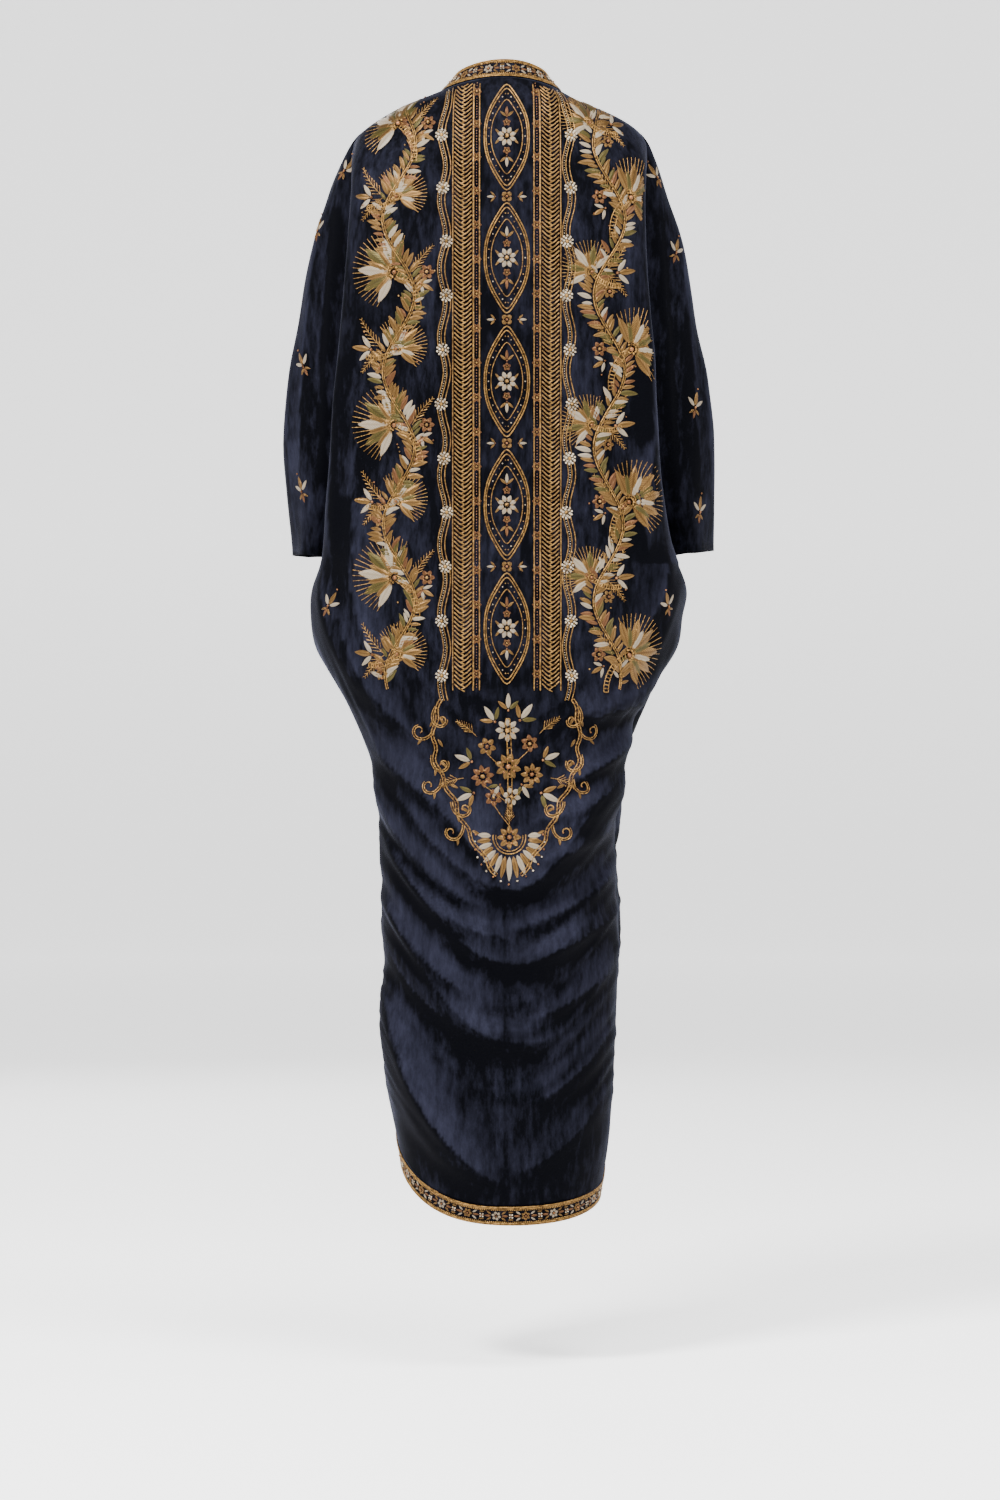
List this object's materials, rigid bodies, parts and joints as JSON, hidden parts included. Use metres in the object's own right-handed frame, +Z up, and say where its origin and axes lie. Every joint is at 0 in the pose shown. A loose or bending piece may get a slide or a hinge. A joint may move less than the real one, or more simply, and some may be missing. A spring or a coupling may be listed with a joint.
{
  "type": "worn open-front kaftan",
  "caption": "Worn long velvet cocoon kaftan with wide short sleeves, an open front and embroidered edge bands, draped in swags over a narrow skirt.",
  "frame": {"origin": "midway between the two neck points of the shoulders, where the wearer's shoulders carry the cloth", "axes": "+X to the wearer's left, +Y to the wearer's back, +Z up"},
  "size_m": [0.5423, 0.2917, 1.4279],
  "materials": {
    "velvet": "dark navy silk velvet",
    "band": "gold thread and bead embroidery on dark velvet"
  },
  "bodies": {
    "root": {"back_left": "velvet", "back_right": "velvet", "front_left": "velvet", "front_right": "velvet", "sleeve_left": "velvet", "sleeve_right": "velvet", "neck_band": "band", "front_band_left": "band", "front_band_right": "band", "hem_band": "band"}
  },
  "joints": []
}
